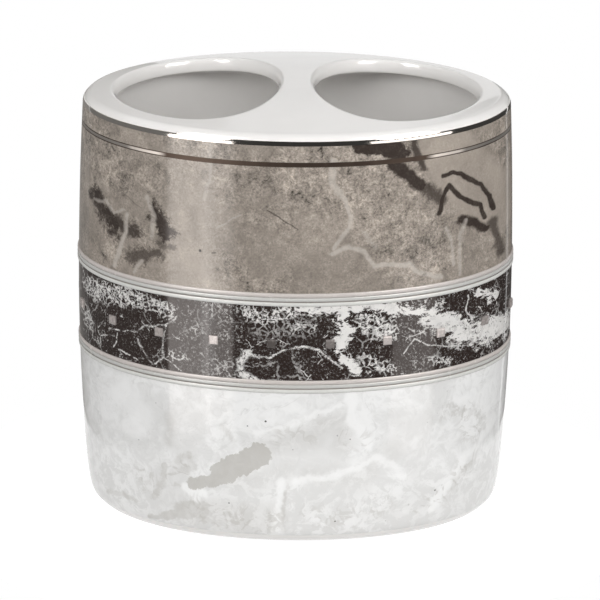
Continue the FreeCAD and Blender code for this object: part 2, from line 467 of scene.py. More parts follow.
def white_glaze():
    """Thick white glaze, a shade warmer where it pools, with a faint orange-peel skin."""
    paint = Paint("white_glaze")
    base = Vector(colours().glaze)
    tone = paint.mix(paint.noise(0.018, 3.0).eased(0.35, 0.7), base, base * 0.965)
    peel = paint.noise(0.004, 2.0)
    paint.glaze(tone, 0.02 + 0.03 * paint.noise(0.012), peel, 0.000012)
    return paint.material


def grey_marble():
    """Taupe stone: grainy stretches and smooth, paler ones where the softboxes' reflection is painted, soft
    pale veins and dark smoky streaks.
    """
    paint = Paint("grey_marble")
    tones = colours()
    spot = paint.flat_place(paint.place)
    front = paint.front()
    cloud = paint.noise(0.014, 4.0, 0.6, 0.5)
    mottle = paint.noise(0.0040, 6.0, 0.72, 0.5, paint.warped(0.005, 0.0010))
    worm = paint.noise(0.0017, 5.0, 0.82, 0.9)
    grain = paint.noise(0.00052, 3.0, 0.75)
    loose = paint.warped(0.006, 0.0016, 5.0)
    flat = paint.flat_place(loose)
    crisp = paint.flat_place(paint.warped(0.0035, 0.0007, 4.0))
    smoky = paint.flat_place(paint.warped(0.0045, 0.0030, 6.0))

    busy = paint.noise(0.015, 3.0, 0.5, 0.3).eased(0.40, 0.62)
    busy = busy.most(front * paint.stroke(smoky, ((3, 100), (16, 97), (25, 88), (31, 78)), 6, 14))
    busy = busy.most(front * paint.stroke(smoky, ((-36, 96), (-28, 92), (-10, 99)), 2, 8) * 0.7)
    # Painted reflection: where the softboxes reflect on the front, the stone is smoother and paler
    calm_and_reflection = paint.strokes((
        (crisp, ((36, 104), (44, 92), (51, 84)), 5.5, 8),
        (smoky, ((-26, 90), (-25, 70)), 1, 10, 0.8),
    )) * front
    busy = busy * (1 - 0.85 * calm_and_reflection)
    level = 1 + (cloud - 0.5) * 1.1 + (mottle - 0.5) * (0.9 + 1.7 * busy) * (1 - 0.6 * calm_and_reflection)
    level = level + (grain - 0.5) * (0.55 + 1.2 * mottle.eased(0.40, 0.62) + 0.9 * busy) * (1 - 0.45 * calm_and_reflection)
    level = level + (worm - 0.5) * (0.55 + 1.7 * busy) * (1 - 0.6 * calm_and_reflection) + 0.17 * calm_and_reflection
    crumbs = worm + 0.5 * mottle
    level = level + 0.26 * crumbs.eased(0.80, 0.95) * busy - 0.30 * crumbs.eased(0.66, 0.52) * busy
    stone = paint.scaled(tones.taupe, level.most(0.12))
    dots = paint.specks(0.0021, paint.warped(0.002, 0.0009)).eased(0.30, 0.12)
    dots = dots * busy.eased(0.2, 0.9) * mottle.eased(0.50, 0.60)
    stone = paint.mix(dots * 0.55, stone, Vector(tones.taupe_dark) * 1.6)

    ragged = (mottle - 0.5) * 0.0040
    fine = (worm - 0.5) * 0.0012
    smoke = paint.strokes((
        (crisp, ((23.5, 101.5), (27.5, 98), (30.5, 95)), 1.0, 2.1, 1, fine + ragged * 0.5),
        (crisp, ((30.5, 95), (33.5, 92.5), (36, 90.5)), 0.6, 2.2, 0.85, fine + ragged * 0.6),
        (crisp, ((36, 96.5), (38.5, 97), (42, 95), (45.5, 92), (48, 88), (49, 84.5)), 0.35, 0.75),
        (crisp, ((35.3, 87), (36, 91), (37.8, 93.8), (40.5, 90), (43.5, 88), (45.5, 86.5), (46.7, 83)),
         0.38, 0.8),
        (flat, ((41, 83.8), (44.5, 82.5), (47, 80)), 0.7, 1.6, 1, fine),
        (flat, ((48.5, 81), (50, 77), (51, 72)), 0.6, 1.8, 0.8, ragged * 0.5),
        (crisp, ((15.4, 106.6), (20, 106), (24, 105.2), (25.5, 103.8)), 1.9, 2.5, 1, ragged * 0.8 + fine),
        (crisp, ((28.5, 107), (30, 102), (31.5, 99)), 0.3, 1.3, 0.9, fine + ragged * 0.5),
    ))
    torn = ragged + (worm - 0.5) * 0.0045 + (grain - 0.5) * 0.0016
    patches = paint.strokes((
        (smoky, ((-49, 86.5), (-47.5, 84), (-45.5, 80)), 1.2, 3.2, 1, torn),
        (smoky, ((-45, 82), (-39.5, 80.5)), 0.7, 2.8, 0.9, torn),
        (smoky, ((-34.5, 87.5), (-33, 84.5), (-31.7, 82)), 1.1, 2.5, 1, torn),
        (smoky, ((-40, 73.5), (-37, 75.5), (-34.5, 76)), 0.5, 2.7, 0.8, torn),
        (smoky, ((-33, 79), (-30.5, 78)), 0.2, 1.8, 0.6, torn),
    ))
    patches = patches * (0.66 + 1.8 * (worm - 0.30)).clamped()
    drift = (paint.noise(0.024, 4.0, 0.55, 1.6) - 0.46).size().eased(0.035, 0.006)
    drift = drift * paint.noise(0.035, 1.0).eased(0.54, 0.64) * (1 - front)
    smoke = (smoke * (0.86 + 0.6 * (worm - 0.3)).clamped()).most(patches) * front
    stone = paint.mix(smoke.most(drift * 0.85) * 0.97, stone, tones.taupe_dark)

    soft = 0.66 + 1.3 * (mottle - 0.40) + 0.8 * (worm - 0.5)
    veins = paint.strokes((
        (flat, ((9, 103), (9, 97), (11.5, 93), (13.5, 89), (13, 86), (9.5, 80.5)), 0.25, 1.0, 1, fine),
        (flat, ((9, 79), (13, 81), (17, 79.5), (19.5, 75.5), (24, 76), (28, 75), (31, 72.5), (36, 70)),
         0.25, 1.0, 1, fine),
        (crisp, ((37, 83), (38.5, 78.5), (39.2, 73)), 0.1, 0.8, 0.8),
        (crisp, ((42, 84), (40.6, 80), (40.8, 70)), 0.1, 0.8, 0.8),
        (flat, ((17, 84), (20, 80.5)), 0.2, 0.9, 0.5),
        (crisp, ((-21, 106), (-21, 99), (-22.3, 92)), 0.1, 0.8, 0.55),
        (crisp, ((-41.7, 84.5), (-42.2, 79), (-43.5, 75), (-45, 70)), 0.2, 0.8),
        (flat, ((-50, 85), (-47, 86.5), (-45, 83.5), (-42, 85.5)), 0.1, 0.6, 0.8),
        (crisp, ((-36.5, 90.5), (-35, 86), (-35.5, 80)), 0.2, 0.9, 0.8),
        (crisp, ((-40, 70), (-38, 73.5)), 0.1, 0.7, 0.8),
        (crisp, ((-19, 85), (-13.5, 89)), 0.05, 0.35, 0.5),
    )) * soft * front
    wander = (paint.noise(0.030, 2.0, 0.5, 1.2) - 0.5).size().eased(0.009, 0.002)
    wander = wander * paint.noise(0.014, 1.0).eased(0.46, 0.58) * (1 - front)
    stone = paint.mix(veins.most(wander * 0.8) * 0.80, stone, tones.taupe_pale)
    hairs = paint.strokes((
        (crisp, ((-7, 90.5), (-3, 88), (0.5, 85.5)), 0.03, 0.28, 0.6),
        (crisp, ((-43, 90), (-38, 87)), 0.02, 0.25, 0.3),
    )) * front
    pits = paint.strokes((
        (spot, ((-23.4, 78.6), (-23.4, 78.7)), 0.18, 0.45),
        (spot, ((-20.4, 78.4), (-19.6, 78.5)), 0.1, 0.3, 0.6),
    )) * front
    stone = paint.mix(hairs.most(pits), stone, Vector(tones.taupe_dark) * 0.4)
    paint.glaze(stone, 0.10 + 0.05 * mottle)
    return paint.material


def dark_marble():
    """Near-black stone with fine white crackle and lace that gathers along the band's top, and a paler
    painted reflection of the softboxes on its front.
    """
    paint = Paint("dark_marble")
    tones = colours()
    spot = paint.flat_place(paint.place)
    low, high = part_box("dark_marble_transfer")
    front = paint.front()
    height = (paint.parts_of(paint.place)[2] - low.z) / (high.z - low.z)
    blotch = paint.noise(0.0020, 5.0, 0.72)
    frost = paint.noise(0.00062, 4.0, 0.78)
    powder = paint.noise(0.00036, 2.0, 0.7)
    ragged = (blotch - 0.5) * 0.0050
    bent = paint.warped(0.006, 0.0018, 4.0)
    jagged = paint.warped(0.0018, 0.0008, 4.0)
    crisp = paint.flat_place(paint.warped(0.0028, 0.0009, 5.0))
    ground = paint.mix(paint.noise(0.008, 5.0, 0.6), tones.night, Vector(tones.night) * 1.6)

    around = paint.noise(0.014, 3.0, 0.55, 0.5) + (height - 0.55) * 0.36
    crowd = around.eased(0.50, 0.66) * (1 - front)
    lace = paint.strokes((
        (crisp, ((-50.5, 61.5), (-46, 62.5), (-41, 63)), 1.4, 3.8, 1, ragged),
        (crisp, ((-40, 63.5), (-35, 62.5), (-31, 61.5)), 1.0, 2.8, 1, ragged),
        (crisp, ((-52.5, 55), (-51.5, 51)), 0.4, 2.2, 0.8, ragged),
        (crisp, ((-12.5, 64), (-8, 62.5), (-0.5, 64.5)), 0.9, 2.8, 1, ragged),
        (crisp, ((18, 61), (23, 58)), 1.5, 4.2, 0.9, ragged),
        (crisp, ((-9, 60), (3, 60)), 1.5, 4.5, 0.30, ragged),
        (crisp, ((17, 51.5), (21, 49.5), (24, 48)), 0.6, 2.4, 0.95, ragged),
        (crisp, ((34, 49), (38, 48)), 0.4, 1.8, 0.8, ragged),
        (crisp, ((-30.5, 50), (-27, 50)), 0.3, 1.8, 0.75, ragged),
        (crisp, ((-18.5, 48.5), (-16.5, 49.5)), 0.2, 1.6, 0.75, ragged),
    ))
    combed = paint.noise(0.0016, 5.0, 0.7, 0.0, paint.vector("MULTIPLY", bent, (0.38, 0.38, 1)))
    torn = (blotch - 0.5) * 0.007 + (combed - 0.5) * 0.014 + (frost - 0.5) * 0.004
    fill = paint.strokes((
        (crisp, ((3, 66), (12, 65.4), (20, 65.5), (27, 63.2), (34, 61.5)), 0.8, 2.6, 1, torn),
        (crisp, ((12, 64), (12.5, 59), (11.5, 55)), 1.1, 2.7, 1, torn),
        (crisp, ((12, 52), (15.5, 48.5)), 0.7, 1.6, 1, torn * 0.4),
        (crisp, ((33, 60.5), (38.5, 58.0), (42.5, 56)), 0.9, 3.2, 0.9, torn),
        (crisp, ((41, 55), (46, 53.5), (53, 51.5)), 1.6, 4.6, 0.88, torn * 1.1),
        (crisp, ((45.5, 63.6), (48, 62.6), (50, 61)), 0.2, 1.0, 1, torn * 0.7),
    ))
    crowd = (lace.most(fill) * front).most(crowd)
    solid = (fill * front).most(crowd * around.eased(0.62, 0.70) * (1 - front))
    holes = paint.specks(0.0017, jagged).eased(0.50, 0.30) * (1 - 0.9 * solid)
    web = paint.cracks(0.0016, jagged).eased(0.15, 0.05)
    body = (blotch * 0.32 + combed * 0.22 + frost * 0.46 + crowd * 0.14 + solid * 0.105).eased(0.62, 0.68)
    white = body * (1 - holes * 0.9) * crowd.eased(0.05, 0.35)
    web = web * crowd.eased(0.10, 0.5) * frost.eased(0.40, 0.48) * (0.6 + 0.4 * blotch.eased(0.4, 0.6))
    white = white.most(web)

    broken = paint.noise(0.0045, 4.0, 0.65)
    wide = paint.cracks(0.015, paint.vector("ADD", bent, paint.vector("SUBTRACT", jagged, paint.place)))
    wide = wide.eased(0.018, 0.004) * broken.eased(0.42, 0.52) * (1 - front * 0.6)
    narrow = paint.cracks(0.0062, bent).eased(0.026, 0.006) * broken.eased(0.52, 0.60)
    vein = paint.strokes((
        (crisp, ((-13, 54), (-10, 52.3), (-6.5, 52.2), (-3, 54), (2, 55), (5.5, 54.5), (9, 51.5), (12, 49)),
         0.08, 0.42, 1, (frost - 0.5) * 0.0026),
        (crisp, ((-11.5, 53), (-13.5, 50.5), (-13, 47.5), (-9.5, 45.5)), 0.5, 1.5, 1, ragged * 0.6),
        (crisp, ((-46, 53), (-39, 54.5), (-37, 56.5), (-32, 58), (-29, 60.5)),
         0.0, 0.27, 1, (frost - 0.5) * 0.0022),
        (crisp, ((-39, 53), (-37, 49), (-35, 46.5), (-32.5, 49.5), (-32.5, 55), (-31.5, 58.5)),
         0.0, 0.27, 1, (frost - 0.5) * 0.0022),
        (crisp, ((-44, 52.5), (-45, 48.5)), 0.0, 0.28),
        (crisp, ((-32.5, 49.5), (-28, 46.5)), 0.0, 0.28),
        (crisp, ((-43.5, 48.5), (-39, 47)), 0.0, 0.28),
        (crisp, ((27, 52), (29.5, 55.5), (33, 53), (41.5, 51)), 0.0, 0.30),
        (crisp, ((43, 64), (42.5, 60), (44.5, 57)), 0.0, 0.32),
    ))
    # Painted reflection: where the two softboxes reflect on the front, the stone turns paler and hazier
    veil = paint.strokes((
        (spot, ((-21, 64), (-21, 48)), 5, 9),
        (spot, ((31, 56), (31, 50)), 2, 7, 0.5),
    ))
    dust_and_reflection = (frost + broken * 0.34 + veil * front * 0.035).eased(0.74, 0.85) * 0.75
    vein = vein * (frost + blotch).eased(0.84, 1.02)
    narrow = narrow * frost.eased(0.38, 0.50)
    wide = wide * frost.eased(0.38, 0.50)
    dust_and_reflection = dust_and_reflection * (0.5 + 0.5 * blotch.eased(0.45, 0.55))
    white = white.most(wide).most(narrow * 0.9).most(vein * front).most(dust_and_reflection)
    # Painted reflection: the crackle dims under the softboxes' reflection
    white = white * (1 - 0.25 * veil * front)
    tint = paint.noise(0.005, 2.0)
    pale = paint.mix(tint, tones.night_vein, Vector(tones.night_vein) * 0.80)
    white = white * (0.78 + 0.50 * powder).least(1.0)
    # A fine grey haze, raised where the softboxes' reflection is painted
    haze = ((powder + frost) * 0.5).eased(0.48, 0.66) * (0.09 + 0.10 * veil * front)
    paint.glaze(paint.mix(white.most(haze), ground, pale), 0.07 + 0.04 * white)
    return paint.material


def white_marble():
    """White stone with soft grey clouds, pale veins, a jagged grey patch, a few dark specks and painted shade
    towards the bottom.
    """
    paint = Paint("white_marble")
    tones = colours()
    spot = paint.flat_place(paint.place)
    front = paint.front()
    bent = paint.warped(0.010, 0.004, 4.0)
    fine = paint.noise(0.0030, 6.0, 0.66, 0.4, bent)
    cloud = paint.noise(0.019, 5.0, 0.58, 0.7, bent)
    chips = paint.noise(0.0085, 2.0, 0.5, 1.2, bent)
    veil = (cloud + (fine - 0.5) * 0.45).eased(0.38, 0.66)
    stone = paint.mix(veil * 0.65, tones.snow, tones.cloud)
    facets = (chips * 5.0).fraction().eased(0.0, 0.9)
    stone = paint.mix(facets * 0.36 * fine.eased(0.38, 0.6), stone, tones.cloud)
    edge = (paint.noise(0.024, 5.0, 0.6, 1.5) - 0.5).size()
    crease = edge.eased(0.016, 0.0) * fine.eased(0.42, 0.58)
    # Painted shade: greyer towards the bottom, where the wall turns under, broken up by the fine noise; the
    # crumbs thicken there too
    low = paint.parts_of(paint.place)[2].eased(0.030, 0.010)
    crumb = paint.noise(0.0019, 5.0, 0.65, 0.8).eased(0.58, 0.66)
    crumb = crumb * cloud.eased(0.44, 0.56) * (0.45 + 0.55 * low)
    low_shade = low * (0.36 + 0.62 * fine.eased(0.44, 0.56))
    stone = paint.mix((crease * 0.60).most(low_shade).most(crumb), stone, tones.cloud)

    ragged = (fine - 0.5) * 0.0075
    jagged = (paint.noise(0.0016, 4.0, 0.65) - 0.5) * 0.0030
    flat = paint.flat_place(paint.warped(0.006, 0.0022, 5.0))
    crisp = paint.flat_place(paint.warped(0.003, 0.0010, 5.0))
    patch = paint.strokes((
        (crisp, ((-25, 16.3), (-21.5, 17.2), (-18, 19.2)), 1.5, 1.9, 1, jagged),
        (crisp, ((-17.5, 20.2), (-13, 23), (-8.6, 25.9)), 3.0, 3.3, 1, jagged),
    ))
    shade = paint.strokes((
        (flat, ((-23, 8.5), (-15.5, 8), (-5.5, 9)), 1.5, 5.5, 0.6, ragged * 2),
        (flat, ((-14, 17), (-8, 20), (-2, 22)), 1.0, 4.5, 0.35, ragged * 2),
        (flat, ((-5, 29), (4, 31), (11, 35), (12, 28)), 1.0, 5.0, 0.42, ragged * 2),
        (flat, ((4, 21), (16, 19), (24, 25)), 1.0, 5.0, 0.4, ragged * 2),
        (crisp, ((-47, 7.5), (-42.5, 8.8), (-39.5, 8)), 0.2, 1.0, 0.9, jagged * 0.5),
        (crisp, ((-32.5, 20), (-32.6, 15), (-34.8, 10.5)), 0.3, 1.1, 0.95, jagged * 0.7),
        (crisp, ((-36, 15), (-37.5, 11.5)), 0.1, 0.9, 0.6, jagged),
        (flat, ((-31, 33), (-31, 27)), 0.6, 2.4, 0.6, ragged * 0.7),
        (crisp, ((-29, 22), (-26.5, 24), (-25, 21), (-27.5, 19.5)), 0.3, 1.5, 0.75, jagged),
        (crisp, ((-1.5, 18), (-2, 14), (-2.6, 7)), 0.1, 0.8, 0.8, jagged),
        (crisp, ((39.5, 12), (41.5, 16), (44.5, 18)), 0.3, 1.2, 0.8, jagged),
        (crisp, ((43, 33), (47, 30), (47.5, 26)), 0.2, 1.6, 0.6, jagged * 2),
        (crisp, ((-18, 33), (-15, 29.5)), 0.2, 1.4, 0.5, jagged),
    ))
    bright = paint.strokes((
        (flat, ((-9.5, 31.3), (-4.5, 33), (1.5, 35), (11.5, 39.3)), 0.2, 1.2, 0.8, jagged * 0.6),
        (flat, ((13.5, 43), (14.5, 34), (19, 27.3)), 0.6, 1.8, 0.9),
        (flat, ((0, 18), (6.5, 19.5), (13, 21.5), (20.5, 23.8), (24, 22.5), (27.5, 18.5)),
         0.3, 1.6, 0.72, jagged * 0.7),
        (flat, ((-3, 18.5), (-4, 13), (-4, 4)), 0.4, 1.6, 0.75, jagged * 0.7),
        (flat, ((35, 8), (39, 15), (44.5, 21), (51, 28)), 0.4, 1.8, 0.7),
        (flat, ((-24, 12), (-27, 14.5), (-22, 13.5)), 0.6, 1.8, 0.9),
        (flat, ((-42, 37), (-38, 33), (-40, 28)), 1.5, 4.5, 0.7),
    ))
    shade = shade * (0.50 + 1.6 * (fine - 0.36)).clamped()
    foot = paint.strokes((
        (crisp, ((-36, 4.4), (-31.5, 6)), 0.3, 0.9, 1, jagged * 0.4),
        (crisp, ((-31.5, 6), (-27.5, 8)), 1.0, 1.7, 1, jagged * 0.6),
        (crisp, ((-27.5, 8), (-23.5, 9.5)), 2.0, 3.2, 1, jagged),
    ))
    shade = shade.most(foot * (0.75 + 1.2 * (fine - 0.42)).clamped())
    swirl = (paint.noise(0.0070, 2.0, 0.55, 1.1) - 0.5).size().eased(0.055, 0.020) * fine.eased(0.42, 0.54)
    where = paint.strokes((
        (flat, ((-24, 9), (-14, 7.5), (-6, 8)), 1.5, 5.5),
        (flat, ((-37, 16), (-33, 13), (-27, 21)), 0.5, 4.5),
        (flat, ((5, 9), (13, 8.5), (22, 11)), 1.0, 5.0, 0.7),
        (flat, ((-3, 31), (8, 33), (17, 29)), 1.0, 5.0, 0.6),
        (flat, ((32, 9), (40, 13), (44, 19)), 0.5, 4.0, 0.9),
        (flat, ((38, 34), (43, 32), (45, 26)), 0.5, 4.5, 0.8),
    ))
    swirl = swirl * where * front
    soft_wedge = Vector(tones.wedge).lerp(Vector(tones.cloud), 0.35)
    stone = paint.mix(shade * front, stone, soft_wedge)
    stone = paint.mix(bright * front * 0.9, stone, Vector(tones.snow) * 1.03)
    stone = paint.mix(swirl * 0.55, stone, tones.wedge)
    stone = paint.mix(patch * front * (0.90 + 0.4 * (fine - 0.5)), stone, tones.wedge)
    speck = paint.specks(0.0115).eased(0.024, 0.014) * (1 - front)
    # The front's specks: their places and half widths, in millimetres
    for x, z, wide in (
        (-7, 35, 0.32), (-11.5, 33.5, 0.2), (-16, 12, 0.22),
        (10.5, 7.5, 0.25), (35.5, 13, 0.25), (14, 30, 0.16),
    ):
        speck = speck.most(paint.stroke(spot, ((x, z), (x + 0.05, z)), wide * 0.5, wide) * front)
    fleck = paint.specks(0.0034, bent).eased(0.07, 0.03) * cloud.eased(0.50, 0.60) * 0.5
    stone = paint.mix(speck.most(fleck), stone, tones.fleck)
    paint.glaze(stone, 0.07 + 0.03 * fine)
    return paint.material


def moulding_glaze():
    """Pale glaze with painted shade in the grooves, pinker on each moulding's topmost bead."""
    paint = Paint("moulding_glaze")
    tones = colours()
    low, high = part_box("upper_moulding")
    lower_low, lower_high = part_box("lower_moulding")
    pitch = (high.z - low.z) / sizes().bead_count
    height = paint.parts_of(paint.place)[2]
    upper = height.above((lower_high.z + low.z) / 2)
    # How many beads up from its moulding's base a place is, and how far from a bead's crest
    turns = (height - (upper * (low.z - lower_low.z) + lower_low.z)) / pitch
    off_crest = (turns.fraction() - 0.5).size() * 2
    wear = paint.noise(0.0030, 4.0, 0.6)
    scuff = paint.noise(0.0008, 3.0, 0.6)
    # Painted shade: darker towards each groove, most of all in the lowest groove and under the bead above it
    line = (off_crest + (wear - 0.5) * 0.12).eased(0.50, 1.0)
    deep_shade = turns.eased(0.80, 0.98) * turns.eased(1.42, 1.18)
    middle = turns.eased(0.9, 1.2) * turns.eased(2.1, 1.9)
    blush = turns.eased(1.9, 2.15)
    crest = paint.mix(middle, tones.bead, Vector(tones.bead) * 0.80)
    crest = paint.mix(blush * 0.9, crest, tones.bead_blush)
    stone = paint.mix(line * 0.40 + deep_shade * 0.55, crest, tones.groove_shade)
    paint.glaze(paint.scaled(stone, 0.93 + 0.14 * scuff), 0.20 + 0.12 * wear)
    return paint.material


def rim_metal():
    """A fired metallic line, polished, with the faint ripple of a brushed-on lustre."""
    paint = Paint("rim_metal")
    lustre = Vector(colours().lustre)
    wear = paint.noise(0.004, 4.0, 0.6)
    paint.glaze(paint.mix(wear, lustre, lustre * 0.90), 0.05 + 0.04 * wear, wear, 0.000003)
    paint.shader.inputs["Metallic"].default_value = 1.0
    return paint.material


def pinstripe_metal():
    """Bronze lustre with a painted reflection, pale in one stretch towards each end of the holder, with dark
    edges.
    """
    paint = Paint("pinstripe_metal")
    tones = colours()
    low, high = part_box("pinstripe_lustre")
    across, _, height = paint.parts_of(paint.place)
    off_middle = (height - (low.z + high.z) / 2).size() / (high.z - low.z)
    # Painted reflection: a pale stretch towards each end, darker again at the far ends
    painted_sheen = across.size().eased(0.0315, 0.0345) * off_middle.eased(0.36, 0.22)
    wear = paint.noise(0.003, 4.0, 0.6)
    bronze = paint.scaled(tones.bronze, 0.7 + 0.6 * wear)
    pale = paint.mix(across.size().eased(0.040, 0.042), tones.bronze_sheen, Vector(tones.bronze_sheen) * 0.45)
    paint.glaze(paint.mix(painted_sheen, bronze, pale), 0.34 + 0.10 * wear)
    paint.shader.inputs["Metallic"].default_value = 0.7
    paint.shader.inputs["Specular IOR Level"].default_value = 0.25
    return paint.material


def mirror_glass():
    """Small mirror squares whose brightness, from smoky to bright, is painted reflection, in no strict order.
    """
    paint = Paint("mirror_glass")
    tones = colours()
    tone = paint.node("ShaderNodeAttribute", {"attribute_name": "tone"}, {}, "Fac")
    haze = paint.noise(0.0009, 2.0)
    # Painted reflection: each square's base colour runs from smoky to bright by its tone
    ramp = paint.mix(tone.eased(0.0, 1.0), tones.mirror_dark_reflection, tones.mirror_bright_reflection)
    paint.glaze(paint.scaled(ramp, 0.9 + 0.2 * haze), 0.22 + 0.10 * haze)
    paint.shader.inputs["Metallic"].default_value = 0.12
    return paint.material


# Cross-sections: each point is an inset from the widest clay outline and a height

def smooth_through(points, count):
    """A natural cubic curve through points, spaced by their chords and sampled evenly."""
    knots = np.array(points, float)
    spans = np.linalg.norm(np.diff(knots, axis=0), axis=1)
    stops = np.concatenate([[0], np.cumsum(spans)])
    size = len(stops)
    matrix = np.eye(size)
    right = np.zeros((size, 2))
    for i in range(1, size - 1):
        before, after = spans[i - 1], spans[i]
        matrix[i, i - 1:i + 2] = before, 2 * (before + after), after
        right[i] = 6 * ((knots[i + 1] - knots[i]) / after - (knots[i] - knots[i - 1]) / before)
    bends = np.linalg.solve(matrix, right)
    out = []
    for stop in np.linspace(0, stops[-1], count):
        i = min(max(int(np.searchsorted(stops, stop)) - 1, 0), size - 2)
        gap = spans[i]
        a, b = stops[i + 1] - stop, stop - stops[i]
        point = (bends[i] * a ** 3 + bends[i + 1] * b ** 3) / (6 * gap)
        point = point + (knots[i] / gap - bends[i] * gap / 6) * a
        point = point + (knots[i + 1] / gap - bends[i + 1] * gap / 6) * b
        out.append((float(point[0]), float(point[1])))
    return out


def bezier(handles, steps):
    """Points along a cubic curve, both ends included."""
    points = []
    for i in range(steps + 1):
        t = i / steps
        shares = ((1 - t) ** 3, 3 * t * (1 - t) ** 2, 3 * t * t * (1 - t), t ** 3)
        points.append(tuple(sum(s * h[axis] for s, h in zip(shares, handles)) for axis in (0, 1)))
    return points


def quarter(low, high, steps):
    """A rounded corner that starts upright at low and ends level at high."""
    rise = ROUNDNESS_SHARE * (high[1] - low[1])
    run = ROUNDNESS_SHARE * (high[0] - low[0])
    return bezier((low, (low[0], low[1] + rise), (high[0] - run, high[1]), high), steps)


def moved(points, inset):
    return [(a + inset, b) for a, b in points]


class Section:
    """The holder's cross-section, worked out from the sizes."""

    def __init__(self):
        s = sizes()
        self.half_width = s.body_width / 2 - s.film
        self.half_depth = s.body_depth / 2 - s.film
        self.top = cad_box[1].z
        self.rim_height = self.top - s.crown
        self.wall_top = self.rim_height - s.corner_height
        knots = [(a * s.foot_inset, b * self.wall_top) for a, b in OUTLINE_SHARES]
        self.outline = smooth_through(knots, OUTLINE_STEPS)
        self.rim_inset = self.outline[-1][0] + s.corner_width
        self.corner = quarter(self.outline[-1], (self.rim_inset, self.rim_height), CORNER_STEPS)
        self.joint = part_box("body_shell")[1].z

    def inset_at(self, curve, height):
        """A rising curve's inset at a height."""
        return float(np.interp(height, [p[1] for p in curve], [p[0] for p in curve]))

    def cut(self, curve, low, high):
        """The piece of a rising curve between two heights."""
        start, end = [(self.inset_at(curve, height), height) for height in (low, high)]
        inner = [p for p in curve if low + CURVE_GAP < p[1] < high - CURVE_GAP]
        return [start, *inner, end]

    def oval(self, inset):
        """The oval's half width and half depth at an inset."""
        return self.half_width - inset, self.half_depth - inset


# Carrying a cross-section round the oval

class Tree(Nodes):
    """A Geometry Nodes tree with named inputs, a mesh and a material among them."""

    def __init__(self, name, inputs):
        super().__init__(bpy.data.node_groups.new(name, "GeometryNodeTree"))
        face = self.tree.interface
        self.keys = {}
        for label, kind in {"Geometry": "Geometry", **inputs, "Material": "Material"}.items():
            socket = face.new_socket(label, in_out="INPUT", socket_type="NodeSocket" + kind)
            self.keys[label] = socket.identifier
        face.new_socket("Geometry", in_out="OUTPUT", socket_type="NodeSocketGeometry")
        self.source = self.tree.nodes.new("NodeGroupInput")

    def input(self, name):
        return Wire(self, self.source.outputs[name])

    def finish(self, geometry):
        real = self.node("GeometryNodeRealizeInstances", {}, {0: geometry})
        values = {"Geometry": real, "Material": self.input("Material")}
        painted = self.node("GeometryNodeSetMaterial", {}, values)
        self.feed(self.tree.nodes.new("NodeGroupOutput").inputs[0], painted)
        return self


def carry_tree():
    """Takes a line of points, each an inset, a share and a height, and carries it round the oval."""
    tree = Tree("Carry section round oval", {"Half Width": "Float", "Half Depth": "Float", "Stations": "Int"})
    section = tree.input("Geometry")
    rows = tree.node("GeometryNodeAttributeDomainSize", {}, {"Geometry": section}, "Point Count")
    stations = tree.input("Stations")
    values = {"Vertices X": stations + 1, "Vertices Y": rows}
    grid = tree.node("GeometryNodeMeshGrid", {}, values, "Mesh")
    index = tree.node("GeometryNodeInputIndex", {}, {})
    station = ((index + 0.5) / rows).floored()
    place = tree.node("GeometryNodeInputPosition", {}, {})
    values = {"Geometry": section, "Value": place, "Index": index % rows}
    point = tree.node("GeometryNodeSampleIndex", {"data_type": "FLOAT_VECTOR"}, values)
    inset, share, height = tree.parts_of(point)
    angle = station / stations * (2 * math.pi)
    x = (tree.input("Half Width") - inset) * share * angle.cosine()
    y = (tree.input("Half Depth") - inset) * share * angle.sine()
    values = {"Geometry": grid, "Position": tree.point(x, y, height)}
    shaped = tree.node("GeometryNodeSetPosition", {}, values)
    values = {"Geometry": shaped, "Distance": WELD_GAP}
    return tree.finish(tree.node("GeometryNodeMergeByDistance", {}, values))


